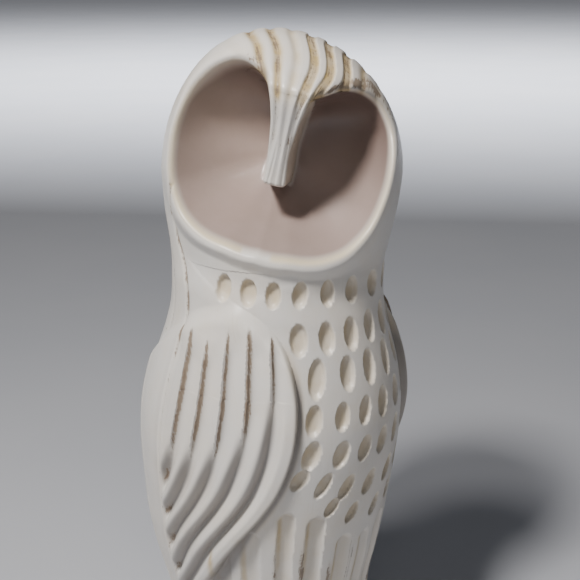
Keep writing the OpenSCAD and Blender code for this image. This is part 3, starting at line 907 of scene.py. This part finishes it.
def bisque():
    n = Nodes("unglazed_clay")
    co = n.coords()
    base = n.mix(n.ramp(n.noise(co, 40.0, 4.0), 0.3, 0.7), (0.62, 0.52, 0.40), (0.52, 0.41, 0.30))
    spots = n.ramp(n.noise(co, 700.0, 2.0), 0.66, 0.74)
    base = n.mix(n.mul(spots, 0.6), base, (0.28, 0.19, 0.12))
    n.link(base, n.bsdf.inputs["Base Color"])
    n.link(n.ramp(n.noise(co, 300.0, 3.0), 0.3, 0.7, 0.78, 0.92), n.bsdf.inputs["Roughness"])
    n.link(n.bump(n.noise(co, 900.0, 4.0, 0.7), 0.5, 0.0002), n.bsdf.inputs["Normal"])
    return n.mat


def felt_cloth():
    n = Nodes("felt_green")
    co = n.coords()
    fib = n.noise(n.mapped(co, (1.0, 1.0, 2.5)), 900.0, 6.0, 0.75)
    mat = n.noise(co, 160.0, 4.0)
    base = n.mix(n.ramp(fib, 0.35, 0.7), (0.030, 0.060, 0.034), (0.075, 0.125, 0.075))
    base = n.mix(n.mul(n.ramp(mat, 0.45, 0.75), 0.5), base, (0.045, 0.075, 0.040))
    n.link(base, n.bsdf.inputs["Base Color"])
    n.link(n.ramp(mat, 0.3, 0.7, 0.86, 0.97), n.bsdf.inputs["Roughness"])
    n.bsdf.inputs["Sheen Weight"].default_value = 0.35
    n.bsdf.inputs["Sheen Roughness"].default_value = 0.6
    n.link(n.bump(fib, 0.7, 0.0004), n.bsdf.inputs["Normal"])
    return n.mat


def floor_paint():
    n = Nodes("pale_floor")
    co = n.coords()
    base = n.mix(n.ramp(n.noise(co, 3.0, 3.0), 0.3, 0.7), (0.54, 0.55, 0.58), (0.57, 0.575, 0.60))
    n.link(base, n.bsdf.inputs["Base Color"])
    n.bsdf.inputs["Roughness"].default_value = 0.75
    return n.mat


# ---- build the pieces --------------------------------------------------------------
def skin_normals(field, pts):
    G = differences(field, pts, 0.2)
    return G / np.maximum(np.linalg.norm(G, axis=-1, keepdims=True), 1e-6)


def hollowness(field, pts, N):
    """How hollow the surface is round each vertex, at two sizes."""
    out = 0
    for d, wt in ((1.8, 0.4), (4.5, 0.6)):
        fd = field((pts + N * d).astype(f32))
        out = out + wt * np.clip(1 - fd / d, 0, 1)
    return np.clip(out, 0, 1)


# brown strokes between the flutes: angle, top, foot, half width, strength
STROKES = [(-35.3, 104, 30, 1.6, 1.0), (-20.8, 92, 20, 1.5, 0.95), (-48, 104, 60, 1.2, 0.5),
           (35.3, 100, 35, 1.5, 0.9), (21, 90, 22, 1.5, 0.9), (50, 100, 50, 1.2, 0.7), (2, 70, 15, 1.3, 0.5),
           (66, 80, 20, 1.4, 0.7), (-66, 80, 20, 1.4, 0.7), (-9, 50, 12, 1.2, 0.6), (9, 55, 12, 1.2, 0.6)]


def body_attrs(pts, N):
    P = pts.astype(f32)
    i = trunk_field(P, True)[1]
    a, z, r = i["a"], i["z"], i["r"]
    side = np.sign(a)
    across = np.abs(a) * r * RAD
    flow = np.stack([across + 200 * (side > 0), z, 0 * z], -1)
    b = np.abs(a)
    wing_line = np.where(i["wing"] > 0, i["line"], 0) * (1 - 0.6 * i["low"] * (b < BORDER_A - 3))
    back = np.where(b > 150, i["line"] * 0.7, 0)
    flank = i["neck"] * 0.75 + i["nape"] * 0.55
    fl = np.zeros(a.shape)
    for c, z0, z1, wd, amp in STROKES:
        ends = step01(z0 + 4, z0 - 6, z) * step01(z1 - 8, z1 + 10, z)
        fl = np.maximum(fl, amp * bump((a - c) * r * RAD, wd) * ends)
    thin = i["thin"] * 0.55 * (z < 100)
    stain = np.clip(np.maximum(np.maximum(wing_line, back), np.maximum(flank, np.maximum(fl, thin))), 0, 1)
    dm, ds = i["dimple"], i["dside"]
    # yellow wash in the dimples, laid heavier on their upper left sides as painted shade
    wash_and_shade = np.clip(dm ** 0.4 * (0.46 + 0.45 * np.clip(ds, 0, 1) + 0.10 * np.clip(-ds, 0, 1)), 0, 1)
    wash_and_shade = np.maximum(wash_and_shade, 0.22 * np.clip(i["flute"] / 2.5, 0, 1))
    for c, top, hw, _ in FLUTES:
        for sg in (1, -1):
            near_edge = bump((a - sg * c) * r * RAD + hw * 0.72, 1.5)
            wash_and_shade = np.maximum(wash_and_shade, 0.75 * near_edge * step01(1, 6, top - z) * step01(48, 22, top - z))
    # painted shadow on the breast just in front of the wing's edge
    edge = bump(i["wing"] + 0.8, 2.2) * step01(60, 80, z) * (1 - step01(196, 210, z))
    wash_and_shade = np.maximum(wash_and_shade, 0.45 * edge)
    # painted occlusion shade: how hollow the surface is, plus the painted shade under feather edges and along
    # the wing's edge
    occlusion_shade = np.clip(np.maximum(hollowness(trunk_field, pts, N), i["shade"]), 0, 1)
    zero = np.zeros(len(pts))
    return dict(flow=flow, stain=stain, wash_and_shade=wash_and_shade, painted_occlusion=occlusion_shade, dish=zero, cream_and_flank_shade=zero, dish_airbrush_and_shadow=zero)


def head_attrs(pts, N):
    P = pts.astype(f32)
    i = head_field(P, True)[1]
    u, v, w, q = i["u"], i["v"], i["w"], i["q"]
    in_front = (w > i["floor"] - 3) & (w > -8)
    on_ridge = i["ridge"] < 1.0
    off = np.clip(i["ridge"], -5, 30)
    d_floor = w - i["floor"]
    theta = np.degrees(np.arctan2(v, u))
    fade = 0.07 * step01(85, 105, theta) * step01(165, 140, theta)
    dish = (1 - step01(0.925 - fade, 0.985 + fade, q)) * (d_floor < 4.5 + 60 * fade) * in_front
    dish = dish * step01(0.2, 1.6, off)
    cream_and_flank_shade = bump(q - 0.980, 0.034) * in_front * (0.7 + 0.3 * np.clip(-v / 40, -1, 1))
    # painted shade on the side of the ridge, in the cream colour
    flank = 0.45 * i["flank"] * step01(0.8, 2.5, d_floor) * step01(34, 26, v)
    cream_and_flank_shade = np.maximum(cream_and_flank_shade * step01(0.5, 2.5, i["side"]), flank)
    # painted shade high in the lobes under the brow over a darker airbrushed tone, and painted shadow of the
    # ridge across the right lobe
    dish_airbrush_and_shadow = step01(0.45, 0.90, q) * step01(0, 32, v) * 0.90
    dish_airbrush_and_shadow = np.maximum(dish_airbrush_and_shadow, 0.80 * step01(-14, 26, v) * step01(2, 16, u))
    crown_amt = 0.95 - 0.5 * bump(i["s"] + 0.11, 0.25) - 0.6 * step01(-1.3, -1.6, i["s"])
    flats = step01(0.2, 0.35, i["s"]) * step01(1.75, 1.6, i["s"])
    stain = i["crown"] ** 2.2 * crown_amt * (0.8 - 0.27 * flats)
    brow = bump(q - 1.06, 0.065) * step01(24, 36, theta) * step01(128, 112, theta)
    brow = brow * step01(1.0, 4.0, i["side"]) * (w > 8)
    stain = np.maximum(stain, 0.80 * brow)
    ridge_st = i["rg"] * (v < 30) * step01(-4, 12, v) * 0.42
    stain = np.maximum(stain, ridge_st)
    stain = np.maximum(stain, i["fine"] * 0.25 * on_ridge)
    stain = np.maximum(stain, i["neck"] * 0.85 * (i["egg"] > -2) + i["nape"] * 0.5 * (i["egg"] > -2))
    path = np.where(v > 40, 60 - w, v)
    flow = np.stack([i["s"] * 13.0 + 400, path, 0 * u], -1)
    flow_n = np.stack([np.abs(i["a"]) * 0.9, i["z"], 0 * u], -1)
    use_n = (v < 20) & ~on_ridge
    flow = np.where(use_n[:, None], flow_n, flow)
    # painted occlusion shade in the head's hollows, kept off the dish
    occlusion_shade = hollowness(head_field, pts, N) * (1 - dish)
    wash_and_shade = np.clip(1.35 * i["crown"] * crown_amt, 0, 0.95)
    return dict(flow=flow, stain=np.clip(stain, 0, 1), wash_and_shade=wash_and_shade, painted_occlusion=occlusion_shade * 0.8, dish=dish,
                cream_and_flank_shade=np.clip(cream_and_flank_shade, 0, 1), dish_airbrush_and_shadow=dish_airbrush_and_shadow * dish)


def node_box(name, pad):
    lo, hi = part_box(name)
    return [v * 1000 - pad for v in lo], [v * 1000 + pad for v in hi]


ivory_mat = glaze("ivory_glaze")
dish_mat = ivory_mat.copy()
dish_mat.name = "taupe_glaze"
dish_mat.node_tree.nodes["Principled BSDF"].inputs["Coat Weight"].default_value = 0.55
clay_mat = bisque()
felt_mat = felt_cloth()

COARSER = 1.0
PIECES = [("trunk", solid_trunk, body_attrs, 0.92, "ivory_glaze", ivory_mat),
          ("wing_right", solid_wing(-1), body_attrs, 0.66, "ivory_glaze", ivory_mat),
          ("wing_left", solid_wing(1), body_attrs, 0.66, "ivory_glaze", ivory_mat),
          ("tail", solid_tail, body_attrs, 0.75, "ivory_glaze", ivory_mat),
          ("head", solid_head, head_attrs, 0.72, "ivory_glaze", ivory_mat),
          ("face_dish", solid_dish, head_attrs, 0.62, "taupe_glaze", dish_mat),
          ("brow_beak", solid_ridge, head_attrs, 0.42, "ivory_glaze", ivory_mat)]
for name, field, attrs, h, slot_name, mat in PIECES:
    lo, hi = node_box(name, 7.0)
    hi = [min(hi[0], 80), min(hi[1], 80), min(hi[2], 345)]
    pts, quads = surface(field, lo, hi, h * COARSER)
    skin = trunk_field if attrs is body_attrs else head_field
    N = skin_normals(skin, pts)
    at = attrs(pts, N)
    on_skin = np.abs(skin(pts.astype(f32))) < 0.3
    put_mesh("owl_" + name, pts, quads, at, N, on_skin, name, mat)


def turned(name, profile, centre, node, mat, seg=96):
    """A closed piece of revolution from (radius, height) pairs in millimetres."""
    me = bpy.data.meshes.new(name)
    n = len(profile)
    verts, faces = [], []
    for r, z in profile:
        for k in range(seg):
            t = 2 * math.pi * k / seg
            x, y = centre[0] + r * math.cos(t), centre[1] + r * math.sin(t)
            verts.append((x * 0.001, y * 0.001, z * 0.001))
    for j in range(n):
        for k in range(seg):
            a, b = j * seg + k, j * seg + (k + 1) % seg
            c, d = ((j + 1) % n) * seg + (k + 1) % seg, ((j + 1) % n) * seg + k
            faces.append((a, b, c, d))
    me.from_pydata(verts, [], faces)
    me.polygons.foreach_set("use_smooth", [True] * len(faces))
    me.update()
    ob = bpy.data.objects.new(name, me)
    bpy.context.collection.objects.link(ob)
    me.materials.append(mat)
    m = ob.modifiers.new("edges", "EDGE_SPLIT")
    m.split_angle = math.radians(40)
    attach(ob, "root")
    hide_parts(node)
    return ob


lo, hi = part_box("base_disc")
cx, cy = (lo[0] + hi[0]) * 500, (lo[1] + hi[1]) * 500
dr, z0, z1 = (hi[0] - lo[0]) * 500, lo[2] * 1000, hi[2] * 1000
DISC = [(8, z0 + 0.6), (8.6, z0 + 0.05), (20, z0), (dr - 1.0, z0), (dr, z0 + 0.9), (dr, z1 - 0.9),
        (dr - 1.0, z1), (20, z1 - 0.15), (8.8, z1), (8, z1 - 0.7)]
turned("owl_base_disc", DISC, (cx, cy), "base_disc", clay_mat)

# felt: cut by hand, so its rim wanders and its faces are napped
fl_lo, fl_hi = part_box("felt_base")
fr = (fl_hi[0] - fl_lo[0]) * 500
me = bpy.data.meshes.new("owl_felt_base")
seg, rings = 160, 14
rng = np.random.default_rng(8)
wob = np.convolve(np.tile(rng.normal(0, 1, seg), 3), SOFT, "same")[seg:2 * seg]
V, F = [], []
for lay, (zz, sgn) in enumerate(((0.0, 1), (fl_hi[2] * 1000, -1))):
    for j in range(1, rings + 1):
        for k in range(seg):
            t = 2 * math.pi * k / seg
            edge = (j / rings)
            r = fr * edge - 0.35 * (edge ** 6) * (1 - wob[k] * 0.7) - 0.12 * (j == rings)
            zz2 = zz + sgn * (0.18 if j == rings else 0.02 * (1 + math.sin(7 * t + j * 2.3)) * (lay == 1))
            V.append((r * math.cos(t) * 0.001, r * math.sin(t) * 0.001, zz2 * 0.001))
    V.append((0, 0, zz * 0.001))
per = rings * seg + 1
for lay in (0, 1):
    b = lay * per
    for j in range(rings - 1):
        for k in range(seg):
            near, far, k2 = b + j * seg, b + (j + 1) * seg, (k + 1) % seg
            q = (near + k, near + k2, far + k2, far + k)
            F.append(q if lay == 0 else q[::-1])
    for k in range(seg):
        tri = (b + per - 1, b + (k + 1) % seg, b + k)
        F.append(tri if lay == 0 else tri[::-1])
o = (rings - 1) * seg
for k in range(seg):
    F.append((o + k, o + (k + 1) % seg, per + o + (k + 1) % seg, per + o + k))
me.from_pydata(V, [], F)
me.update()
felt = bpy.data.objects.new("owl_felt_base", me)
bpy.context.collection.objects.link(felt)
me.materials.append(felt_mat)
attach(felt, "root")
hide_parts("felt_base")

# ---- floor, light, camera ------------------------------------------------------------
me = bpy.data.meshes.new("floor")
ring = [(30 * math.cos(t * math.pi / 32), 30 * math.sin(t * math.pi / 32), 0) for t in range(64)]
me.from_pydata(ring, [], [tuple(range(64))])
floor = bpy.data.objects.new("floor", me)
bpy.context.collection.objects.link(floor)
me.materials.append(floor_paint())

world = bpy.data.worlds.new("studio")
bpy.context.scene.world = world
world.use_nodes = True
world.node_tree.nodes["Background"].inputs[0].default_value = (0.80, 0.86, 1.0, 1)
world.node_tree.nodes["Background"].inputs[1].default_value = 0.07


def area(name, place, target, size, power, colour):
    d = bpy.data.lights.new(name, "AREA")
    d.shape = "RECTANGLE"
    d.size, d.size_y = size
    d.energy = power
    d.color = colour
    o = bpy.data.objects.new(name, d)
    o.location = place
    o.rotation_euler = (Vector(target) - Vector(place)).to_track_quat("-Z", "Y").to_euler()
    bpy.context.collection.objects.link(o)
    return o


mid = (0.0, 0.0, 0.20)
area("key_above_left", (-0.250, -0.440, 0.900), (0, 0, 0.25), (0.13, 0.13), 9.2, (1.0, 0.98, 0.965))
area("front_fill", (0.12, -0.95, 0.95), mid, (0.4, 0.4), 1.2, (1.0, 0.98, 0.96))
area("sky_left", (-1.3, -0.1, 0.6), mid, (0.9, 0.9), 0.15, (0.74, 0.85, 1.0))
area("far_floor", (0.0, 2.2, 2.8), (0.0, 9.0, 0.0), (4.0, 1.0), 720.0, (0.93, 0.95, 1.0))
sun = bpy.data.lights.new("key_sun", "SUN")
sun.energy, sun.angle, sun.color = 0.68, math.radians(9), (1.0, 0.98, 0.965)
sun_ob = bpy.data.objects.new("key_sun", sun)
sun_ob.rotation_euler = Vector((0.43, 0.49, -0.99)).to_track_quat("-Z", "Y").to_euler()
bpy.context.collection.objects.link(sun_ob)

CAM_AZ, CAM_PITCH, CAM_DIST, CAM_H, CAM_SIDE, CAM_F = 5.0, 17.5, 0.472, 0.363, 0.009, 1000.0
t = math.radians(CAM_AZ)
cam_data = bpy.data.cameras.new("camera")
cam_data.sensor_width = 36.0
cam_data.lens = CAM_F / 580.0 * 36.0
cam_data.clip_start, cam_data.clip_end = 0.02, 100.0
cam = bpy.data.objects.new("camera", cam_data)
cam.location = (math.sin(t) * CAM_DIST + math.cos(t) * CAM_SIDE,
                -math.cos(t) * CAM_DIST + math.sin(t) * CAM_SIDE, CAM_H)
cam.rotation_euler = (math.radians(90 - CAM_PITCH), 0, t)
bpy.context.collection.objects.link(cam)
bpy.context.scene.camera = cam
